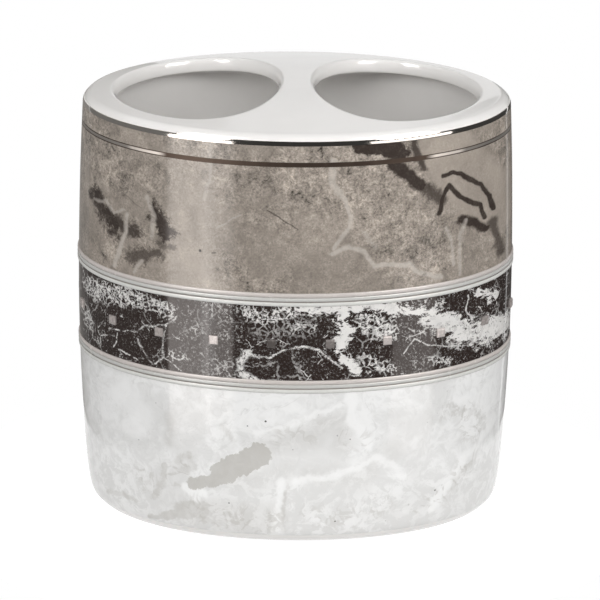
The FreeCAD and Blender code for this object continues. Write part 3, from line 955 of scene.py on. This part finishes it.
def row_tree():
    """Sets copies of its own geometry in an even row round the oval, each facing out."""
    tree = Tree("Row of squares round oval", {
        "Half Width": "Float", "Half Depth": "Float", "Height": "Float",
        "Count": "Int", "Shift": "Float", "Seed": "Int"})
    values = {"Resolution": TRACK_STEPS, "Radius": 1.0}
    circle = tree.node("GeometryNodeCurvePrimitiveCircle", {}, values, "Curve")
    across, back, _ = tree.parts_of(tree.node("GeometryNodeInputPosition", {}, {}))
    across = across * tree.input("Half Width")
    back = back * tree.input("Half Depth")
    where = tree.point(across, back, tree.input("Height"))
    oval = tree.node("GeometryNodeSetPosition", {}, {"Geometry": circle, "Position": where})
    whole_length = tree.node("GeometryNodeCurveLength", {}, {"Curve": oval})
    tiles = tree.input("Count")
    index = tree.node("GeometryNodeInputIndex", {}, {})
    along = (index + 0.5) * (whole_length / tiles) + tree.input("Shift")
    values = {"Curves": oval, "Length": along}
    sample = tree.node("GeometryNodeSampleCurve", {"mode": "LENGTH"}, values, "Position")
    tangent = Wire(tree, sample.socket.node.outputs["Tangent"])
    dots = tree.node("GeometryNodePoints", {}, {"Count": tiles, "Position": sample})
    outward = tree.vector("CROSS_PRODUCT", tangent, (0, 0, 1))
    settings = {"axis": "X", "pivot_axis": "Z"}
    turn = tree.node("FunctionNodeAlignEulerToVector", settings, {"Vector": outward})
    settings = {"data_type": "FLOAT_VECTOR", "domain": "POINT"}
    values = {"Geometry": dots, "Name": "facing", "Value": turn}
    turned = tree.node("GeometryNodeStoreNamedAttribute", settings, values)
    facing = tree.node("GeometryNodeInputNamedAttribute", {"data_type": "FLOAT_VECTOR"}, {"Name": "facing"})
    values = {"Points": turned, "Instance": tree.input("Geometry"), "Rotation": facing}
    squares = tree.node("GeometryNodeInstanceOnPoints", {}, values)
    # Each square's painted reflection: a random tone from the seed
    values = {"ID": index, "Seed": tree.input("Seed")}
    shade = tree.node("FunctionNodeRandomValue", {"data_type": "FLOAT"}, values, 1)
    settings = {"data_type": "FLOAT", "domain": "INSTANCE"}
    values = {"Geometry": squares, "Name": "tone", "Value": shade}
    return tree.finish(tree.node("GeometryNodeStoreNamedAttribute", settings, values))


def placed(name, data):
    """A new object in the scene that shows this mesh, light or camera."""
    made = bpy.data.objects.new(name, data)
    bpy.context.scene.collection.objects.link(made)
    return made


def built(name, source, tree, values):
    """Runs a tree on a mesh and keeps the plain result as an object at the origin."""
    piece = placed(name, source)
    modifier = piece.modifiers.new("Build", "NODES")
    modifier.node_group = tree.tree
    for key, value in values.items():
        modifier[tree.keys[key]] = value
    bpy.context.view_layer.update()
    piece.update_tag()
    depsgraph = bpy.context.evaluated_depsgraph_get()
    mesh = bpy.data.meshes.new_from_object(piece.evaluated_get(depsgraph))
    piece.modifiers.clear()
    piece.data = mesh
    mesh.name = name
    return piece


def finished(piece, material, node, crease):
    """Smooths a piece but for its creases, checks that it faces out and stands it in for its CAD node."""
    mesh = piece.data
    shape = bmesh.new()
    shape.from_mesh(mesh)
    bmesh.ops.remove_doubles(shape, verts=shape.verts, dist=WELD_GAP)
    bmesh.ops.dissolve_degenerate(shape, edges=shape.edges, dist=SLIVER)
    if shape.calc_volume(signed=True) < 0:
        bmesh.ops.reverse_faces(shape, faces=shape.faces)
    loose = [edge for edge in shape.edges if not edge.is_manifold]
    if loose:
        raise RuntimeError(f"{piece.name} isn't closed: {len(loose)} edges")
    shape.to_mesh(mesh)
    shape.free()
    mesh.shade_smooth()
    mesh.set_sharp_from_angle(angle=math.radians(crease))
    mesh.materials.clear()
    mesh.materials.append(material)
    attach(piece, "root")
    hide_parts(node)


def carried(section, name, points, material, node, crease):
    """A closed piece: its cross-section, carried round the oval. A point is an inset, a height and,
    where it lies further in, a share of that inset's oval."""
    loop = [(p[0], p[2] if len(p) > 2 else 1.0, p[1]) for p in points]
    line = bpy.data.meshes.new(name + "_section")
    line.from_pydata(loop, [(i, i + 1) for i in range(len(loop) - 1)], [])
    values = {"Half Width": section.half_width, "Half Depth": section.half_depth,
              "Stations": sizes().stations, "Material": material}
    finished(built(name, line, carry_tree(), values), material, node, crease)


def film(section, curve, name, node, material, slot):
    """A fired film on a curve of the clay, between the heights of its CAD node."""
    s = sizes()
    low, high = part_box(node)
    clay = section.cut(curve, low.z, high.z)
    outer = moved(clay, -s.film)
    inner = moved(clay, -s.film_gap)
    carried(section, name, [*outer, *reversed(inner), outer[0]], material, node, FILM_CREASE)


# The deck

def deck_columns(section):
    """The deck's left half: columns of points that run from the mouth's lip over the top, down the
    skirt where they end on the oval, and back under the ceiling to the lip."""
    s = sizes()
    half_mouth = (s.body_width - s.bridge) / 4 - s.end_margin / 2
    mouth_depth = s.body_depth / 2 - s.side_margin
    centre = -(s.bridge / 2 + half_mouth)
    rim_a, rim_b = section.oval(section.rim_inset)
    skirt = section.cut(section.outline, section.joint, section.wall_top)
    corner = section.cut(section.corner, section.wall_top, section.rim_height)
    outer = [*reversed(corner[:-1]), *reversed(skirt[:-1])]
    wall_a, wall_b = section.oval(skirt[0][0] + s.wall)
    below = quarter((0.0, s.lip_height - s.lip_under), (s.lip_run, s.lip_height), LIP_UNDER_STEPS)
    above = quarter((0.0, s.lip_corner_height), (s.lip_corner, 0.0), LIP_TOP_STEPS)

    def dome(x, y):
        return section.top - s.crown * ((x / rim_a) ** 2 + (y / rim_b) ** 2)

    def ceiling(x, y):
        reach = min(1.0, math.hypot(x / wall_a, y / wall_b))
        rise = (1 - reach ** CEILING_POWER) ** (1 / CEILING_POWER)
        return section.joint + (dome(x, y) - s.deck - section.joint) * rise

    around = []
    for i in range(DECK_OVAL_STEPS + 1):
        angle = math.pi * (0.5 + i / DECK_OVAL_STEPS)
        around.append((True, math.cos(angle), math.sin(angle)))
    for i in range(1, DECK_MIDDLE_STEPS):
        around.append((False, 0.0, -math.cos(math.pi * i / DECK_MIDDLE_STEPS)))

    columns = []
    for on_oval, cosine, sine in around:
        end = Vector((rim_a * cosine, rim_b * sine))
        wall_end = Vector((wall_a * cosine, wall_b * sine))
        # The mouth's edge that faces this end, and the way out from it
        angle = math.atan2(end.y / mouth_depth, (end.x - centre) / half_mouth)
        fuller = 1 + s.mouth_taper * math.cos(angle)
        edge = Vector((centre + half_mouth * math.cos(angle), mouth_depth * math.sin(angle) * fuller))
        run = -half_mouth * math.sin(angle)
        climb = mouth_depth * (math.cos(angle) * fuller - s.mouth_taper * math.sin(angle) ** 2)
        out = Vector((climb, -run)).normalized()
        brink = edge + out * s.lip_corner
        crest = edge + out * s.lip_run
        column = []
        for reach, drop in (*reversed(below), *above):
            spot = edge + out * reach
            column.append((spot.x, spot.y, dome(brink.x, brink.y) - drop))
        lip_foot = column[0][2]
        for j in range(1, DECK_TOP_ROWS + 1):
            spot = brink.lerp(end, j / DECK_TOP_ROWS)
            column.append((spot.x, spot.y, dome(spot.x, spot.y)))
        slope_share = 0.0
        if on_oval:
            for inset, height in outer:
                a, b = section.oval(inset)
                column.append((a * cosine, b * sine, height))
            clear = (wall_end - crest).length
            slope_share = min(1.0, max(0.0, (SLOPE_FAR - clear) / (SLOPE_FAR - SLOPE_NEAR)))
        under = []
        for j in range(1, DECK_UNDER_ROWS + 1):
            t = 1 - (1 - j / DECK_UNDER_ROWS) ** ROW_POWER
            spot = crest.lerp(wall_end, t)
            level = ceiling(spot.x, spot.y) + (lip_foot - ceiling(crest.x, crest.y)) * (1 - t) ** 2
            slope = section.joint + (lip_foot - section.joint) * math.sqrt(max(0.0, 1 - t * t))
            under.append((spot.x, spot.y, level + (slope - level) * slope_share))
        if on_oval:
            under[-1] = (wall_end.x, wall_end.y, section.joint)
        column.extend(reversed(under))
        columns.append((on_oval, column))
    return columns


def deck_mesh(section):
    """Both halves of the deck, joined along the middle."""
    columns = deck_columns(section)
    top_steps = LIP_UNDER_STEPS + LIP_TOP_STEPS + DECK_TOP_ROWS + 1
    shape = bmesh.new()
    for side in (1, -1):
        made = []
        for on_oval, column in columns:
            made.append((on_oval, [shape.verts.new((side * x, y, z)) for x, y, z in column]))
        for (on_oval, verts), (next_on_oval, following) in zip(made, [*made[1:], made[0]]):
            # Columns on the middle line have no skirt, so only their tops and undersides are joined
            steps = [*range(top_steps), *range(-DECK_UNDER_ROWS, 0)]
            if on_oval and next_on_oval:
                steps = range(len(verts))
            for k in steps:
                corners = [verts[k], following[k]]
                corners += [column[(k + 1) % len(column)] for column in (following, verts)]
                if side < 0:
                    corners.reverse()
                shape.faces.new(corners)
    bmesh.ops.remove_doubles(shape, verts=shape.verts, dist=SEAM_GAP)
    mesh = bpy.data.meshes.new("domed_deck")
    shape.to_mesh(mesh)
    shape.free()
    return mesh


# Operators

class HOLDER_OT_body(bpy.types.Operator):
    """Make the glazed body: wall, floor and foot ring"""
    bl_idname = "holder.body"
    bl_label = "Body"

    def execute(self, context):
        s = context.scene.holder_sizes
        section = Section()
        outer = section.cut(section.outline, 0.0, section.joint)
        inner = moved(section.cut(section.outline, s.floor + s.floor_corner, section.joint), s.wall)
        # The corner's handles stop a third of the way from the floor and the wall
        wall_foot = inner[0]
        third = s.floor_corner / 3
        floor_edge = (wall_foot[0] + s.floor_corner, s.floor)
        handles = (wall_foot, (wall_foot[0], s.floor + third), (wall_foot[0] + third, s.floor), floor_edge)
        turn = bezier(handles, FLOOR_CORNER_STEPS)
        ring = s.foot_inset + s.foot_ring
        recess = [(ring, s.foot_recess, share) for share in RECESS_SHARES]
        middle = [(floor_edge[0], s.floor, share) for share in FLOOR_SHARES]
        points = [*recess, (ring, s.foot_recess), (ring, 0.0), *outer, *reversed(inner), *turn[1:], *middle]
        carried(section, "body", points, white_glaze(), "body_shell", BODY_CREASE)
        return {"FINISHED"}


class HOLDER_OT_deck(bpy.types.Operator):
    """Make the domed deck with its two round-lipped mouths"""
    bl_idname = "holder.deck"
    bl_label = "Deck"

    def execute(self, context):
        piece = placed("domed_deck", deck_mesh(Section()))
        glaze = bpy.data.objects["body"].data.materials[0]
        finished(piece, glaze, "top_deck", DECK_CREASE)
        return {"FINISHED"}


class HOLDER_OT_transfers(bpy.types.Operator):
    """Make the marble-look transfers: collar, grey, dark and white bands"""
    bl_idname = "holder.transfers"
    bl_label = "Transfers"

    def execute(self, context):
        section = Section()
        grey = grey_marble()
        for name, node, material, slot in (
            ("collar_band", "collar_transfer", grey, "grey_marble"),
            ("grey_band", "grey_marble_transfer", grey, "grey_marble"),
            ("dark_band", "dark_marble_transfer", dark_marble(), "dark_marble"),
            ("white_band", "white_marble_transfer", white_marble(), "white_marble"),
        ):
            film(section, section.outline, name, node, material, slot)
        return {"FINISHED"}


class HOLDER_OT_lines(bpy.types.Operator):
    """Make the two metallic lines"""
    bl_idname = "holder.lines"
    bl_label = "Lustre lines"

    def execute(self, context):
        section = Section()
        film(section, section.corner, "rim_line", "rim_lustre", rim_metal(), "metallic_lustre")
        film(section, section.outline, "pinstripe", "pinstripe_lustre", pinstripe_metal(), "metallic_lustre")
        return {"FINISHED"}


class HOLDER_OT_mouldings(bpy.types.Operator):
    """Make the two raised mouldings of round beads"""
    bl_idname = "holder.mouldings"
    bl_label = "Mouldings"

    def execute(self, context):
        s = context.scene.holder_sizes
        material = moulding_glaze()
        section = Section()
        # A bead's handles stand out by four thirds of its rise, so its crest reaches the rise
        reach = s.bead_rise * 4 / 3
        for name, node in (("upper_beads", "upper_moulding"), ("lower_beads", "lower_moulding")):
            low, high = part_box(node)
            clay = section.cut(section.outline, low.z, high.z)
            step = (high.z - low.z) / s.bead_count
            heights = [low.z + i * step for i in range(s.bead_count + 1)]
            grooves = [(section.inset_at(clay, height) - s.film, height) for height in heights]
            outer = [grooves[0]]
            for a, b in zip(grooves, grooves[1:]):
                outer += bezier((a, (a[0] - reach, a[1]), (b[0] - reach, b[1]), b), BEAD_STEPS)[1:]
            points = [*outer, *reversed(moved(clay, -s.film_gap)), outer[0]]
            carried(section, name, points, material, node, BEAD_CREASE)
        return {"FINISHED"}


class HOLDER_OT_mirrors(bpy.types.Operator):
    """Make the row of bevelled mirror squares"""
    bl_idname = "holder.mirrors"
    bl_label = "Mirror squares"

    def execute(self, context):
        s = context.scene.holder_sizes
        section = Section()
        low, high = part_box("dark_marble_transfer")
        height = (low.z + high.z) / 2
        half_width, half_depth = section.oval(section.inset_at(section.outline, height) - s.film)
        half = s.tile_side / 2
        front = s.film_gap + s.tile_thickness
        # Rings of four corners: the back, the foot of the bevel and the face within it
        points = []
        for depth, reach in ((s.film_gap, half), (front - s.tile_bevel, half), (front, half - s.tile_bevel)):
            for y, z in ((-1, -1), (1, -1), (1, 1), (-1, 1)):
                points.append((depth, y * reach, z * reach))
        faces = [(3, 2, 1, 0), (8, 9, 10, 11)]
        for ring in (0, 4):
            for k in range(4):
                following = (k + 1) % 4
                faces.append((ring + k, ring + following, ring + 4 + following, ring + 4 + k))
        tile = bpy.data.meshes.new("mirror_square")
        tile.from_pydata(points, [], faces)
        material = mirror_glass()
        values = {"Half Width": half_width, "Half Depth": half_depth, "Height": height,
                  "Count": s.tile_count, "Shift": s.tile_shift, "Seed": s.tile_reflection_seed, "Material": material}
        piece = built("mirror_squares", tile, row_tree(), values)
        finished(piece, material, "mirror_tiles", MIRROR_CREASE)
        return {"FINISHED"}


class HOLDER_OT_stage(bpy.types.Operator):
    """Make the floor, the cards, the softboxes and the camera"""
    bl_idname = "holder.stage"
    bl_label = "Stage"

    def execute(self, context):
        studio = context.scene.holder_studio
        floor(studio)
        world(studio.ambient)
        # Softboxes that polished surfaces show: azimuth, elevation, width, height and brightness
        for name, azimuth, elevation, width, height, brightness in (
            ("left_gleam", -42.5, -6, 0.42, 1.0, studio.left_gleam),
            ("left_fade", -28.5, -6, 0.24, 1.0, studio.left_gleam * LEFT_FADE_SHARE),
            ("right_gleam", 47.5, 3, 0.96, 0.55, studio.right_gleam),
            ("low_gleam", 49, -25.5, 0.46, 0.38, studio.low_gleam),
            ("left_spark", -38, 40, 0.46, 0.76, studio.sparks),
            ("right_spark", 48, 40, 0.62, 0.76, studio.sparks),
        ):
            softbox(name, azimuth, elevation, NEAR_LAMP, (width, height), brightness, lights=False)
        # Softboxes that light the holder: azimuth, elevation, distance, width, height and brightness
        for name, azimuth, elevation, distance, width, height, brightness in (
            ("left_softbox", -42, 15, FAR_LAMP, 0.9, 1.2, studio.left_box),
            ("right_softbox", 60, 15, FAR_LAMP, 0.9, 1.2, studio.right_box),
            ("top_softbox", 5, 50, NEAR_LAMP, 1.2, 0.9, studio.top_box),
            ("back_softbox", 180, 6, FAR_LAMP, 1.2, 1.0, studio.back_box),
        ):
            softbox(name, azimuth, elevation, distance, (width, height), brightness, lights=True)
        # Cards: the azimuths between which they stand, their distance and their tone
        for name, start, end, radius, tone in (
            ("dark_card", -30, 139, 2.4, 0.10),
            ("far_card", 143, 172, 2.4, 0.16),
            ("side_card", -130, -36, 2.5, 0.42),
            ("back_card", -176, -131, 2.4, 0.62),
        ):
            card(name, start, end, radius, tone)
        camera()
        return {"FINISHED"}


def floor(studio):
    """A plain pale disc that turns to the white of the background away from the holder's shadow."""
    shape = bmesh.new()
    bmesh.ops.create_circle(shape, cap_ends=True, segments=FLOOR_STEPS, radius=FLOOR_RADIUS)
    mesh = bpy.data.meshes.new("floor")
    shape.to_mesh(mesh)
    shape.free()
    paint = Paint("pale_floor")
    paint.glaze([studio.floor_tone] * 3, CLOTH_ROUGHNESS)
    values = {"Strength": paint.seen() * studio.floor_white + studio.floor_glow}
    glow = paint.node("ShaderNodeEmission", {}, values)
    both = paint.node("ShaderNodeAddShader", {}, {0: Wire(paint, paint.shader.outputs[0]), 1: glow})
    paint.feed(paint.tree.nodes["Material Output"].inputs["Surface"], both)
    mesh.materials.append(paint.material)
    placed("floor", mesh)


def world(ambient):
    """White wherever it is seen, and a plain level of light everywhere else."""
    room = bpy.data.worlds.new("studio")
    bpy.context.scene.world = room
    room.use_nodes = True
    nodes = Nodes(room.node_tree)
    back = nodes.tree.nodes["Background"]
    nodes.feed(back.inputs["Color"], (1, 1, 1, 1))
    nodes.feed(back.inputs["Strength"], ambient + nodes.seen() * (1 - ambient))


def direction(azimuth, elevation):
    """From the holder outwards: azimuth 0 is towards the front and 90 to the right."""
    a, e = math.radians(azimuth), math.radians(elevation)
    return Vector((math.sin(a) * math.cos(e), -math.cos(a) * math.cos(e), math.sin(e)))


def softbox(name, azimuth, elevation, distance, size, brightness, lights):
    """A soft rectangular light that faces the holder. It lights the surfaces or is seen in them."""
    light = bpy.data.lights.new(name, "AREA")
    light.shape = "RECTANGLE"
    light.size, light.size_y = size
    light.energy = brightness * LAMP_POWER * size[0] * size[1]
    if not lights:
        light.color = GLEAM_TINT
    out = direction(azimuth, elevation)
    lamp = placed(name, light)
    lamp.location = STAGE_MIDDLE + out * distance
    lamp.rotation_mode = "QUATERNION"
    lamp.rotation_quaternion = out.to_track_quat("Z", "Y")
    lamp.visible_camera = False
    lamp.visible_diffuse = lights
    lamp.visible_glossy = not lights


def card(name, start, end, radius, tone):
    """A curved card round part of the stage, which only polished surfaces can see."""
    points = []
    for i in range(CARD_STEPS + 1):
        spot = STAGE_MIDDLE + direction(start + (end - start) * i / CARD_STEPS, 0) * radius
        points.extend([(spot.x, spot.y, CARD_BOTTOM), (spot.x, spot.y, CARD_TOP)])
    faces = [(2 * i, 2 * i + 1, 2 * i + 3, 2 * i + 2) for i in range(CARD_STEPS)]
    mesh = bpy.data.meshes.new(name)
    mesh.from_pydata(points, [], faces)
    paint = Paint(name + "_cloth")
    paint.glaze(Vector(CLOTH_TINT) * tone, CLOTH_ROUGHNESS)
    mesh.materials.append(paint.material)
    sheet = placed(name, mesh)
    sheet.visible_camera = False
    sheet.visible_diffuse = False
    sheet.visible_shadow = False


def camera():
    """A long lens that looks down twenty degrees, as the photograph does."""
    lens = bpy.data.cameras.new("camera")
    eye = placed("camera", lens)
    out = direction(0, CAMERA_ELEVATION)
    roll = Matrix.Rotation(math.radians(CAMERA_ROLL), 4, "Z")
    turn = (-out).to_track_quat("-Z", "Y").to_matrix().to_4x4() @ roll
    eye.matrix_world = Matrix.Translation(CAMERA_TARGET + out * CAMERA_DISTANCE) @ turn
    lens.lens = LENS
    lens.sensor_width = SENSOR
    lens.clip_end = CAMERA_REACH
    lens.shift_x = (PHOTO_SIDE / 2 - PHOTO_ACROSS) / PHOTO_SIDE
    lens.shift_y = (PHOTO_DOWN - PHOTO_SIDE / 2) / PHOTO_SIDE
    bpy.context.scene.camera = eye


class HOLDER_PT_panel(bpy.types.Panel):
    """Sizes, colours and the makers of the holder"""
    bl_idname = "HOLDER_PT_panel"
    bl_label = "Toothbrush holder"
    bl_space_type = "VIEW_3D"
    bl_region_type = "UI"
    bl_category = "Holder"

    def draw(self, context):
        for group, kind in GROUPS.items():
            box = self.layout.box()
            box.label(text=kind.__doc__)
            settings = getattr(context.scene, group)
            for name in settings.__annotations__:
                box.prop(settings, name)
        for maker in MAKERS:
            self.layout.operator(maker.bl_idname)


GROUPS = {"holder_sizes": HolderSizes, "holder_colours": HolderColours, "holder_studio": HolderStudio}
MAKERS = (HOLDER_OT_body, HOLDER_OT_deck, HOLDER_OT_transfers, HOLDER_OT_lines, HOLDER_OT_mouldings,
          HOLDER_OT_mirrors, HOLDER_OT_stage)


def register():
    for kind in (*GROUPS.values(), *MAKERS, HOLDER_PT_panel):
        bpy.utils.register_class(kind)
    for name, kind in GROUPS.items():
        setattr(bpy.types.Scene, name, bpy.props.PointerProperty(type=kind))


def unregister():
    for name in GROUPS:
        delattr(bpy.types.Scene, name)
    for kind in (HOLDER_PT_panel, *reversed(MAKERS), *reversed(tuple(GROUPS.values()))):
        bpy.utils.unregister_class(kind)


def main():
    register()
    bpy.ops.holder.body()
    bpy.ops.holder.deck()
    bpy.ops.holder.transfers()
    bpy.ops.holder.lines()
    bpy.ops.holder.mouldings()
    bpy.ops.holder.mirrors()
    bpy.ops.holder.stage()
    bpy.context.scene.view_settings.view_transform = "Standard"


if __name__ == "__main__":
    main()
